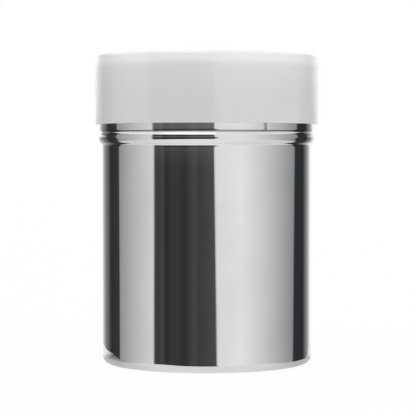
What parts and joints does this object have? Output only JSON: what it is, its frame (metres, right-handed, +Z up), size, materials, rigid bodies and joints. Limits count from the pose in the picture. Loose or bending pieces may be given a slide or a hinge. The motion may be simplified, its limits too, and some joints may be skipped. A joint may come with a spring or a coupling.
{
  "type": "spice shaker",
  "caption": "Upright steel kitchen shaker with a rolled bead, a lift-off sieve lid and a push-on white plastic cap.",
  "frame": {"origin": "centre of the ring that the can stands on, at table height", "axes": "+Z up along the can's axis, -Y towards the front, where the lid's seam is 31.3 degrees round towards +X"},
  "size_m": [0.0746, 0.0746, 0.1026],
  "materials": {
    "polished_steel": "mirror-polished stainless steel sheet",
    "satin_steel": "satin stainless steel sheet",
    "white_plastic": "white moulded polyethylene, low sheen"
  },
  "bodies": {
    "can": {"can_body": "polished_steel"},
    "lid": {"lid_collar": "polished_steel", "sieve_plate": "satin_steel", "clamp_ring": "satin_steel"},
    "cap": {"dust_cap": "white_plastic"}
  },
  "joints": [
    {"name": "lid_lift", "type": "slide", "parent": "can", "child": "lid", "axis": [0, 0, 1], "range_m": [0, 0.03]},
    {"name": "cap_lift", "type": "slide", "parent": "lid", "child": "cap", "axis": [0, 0, 1], "range_m": [0, 0.03]}
  ]
}
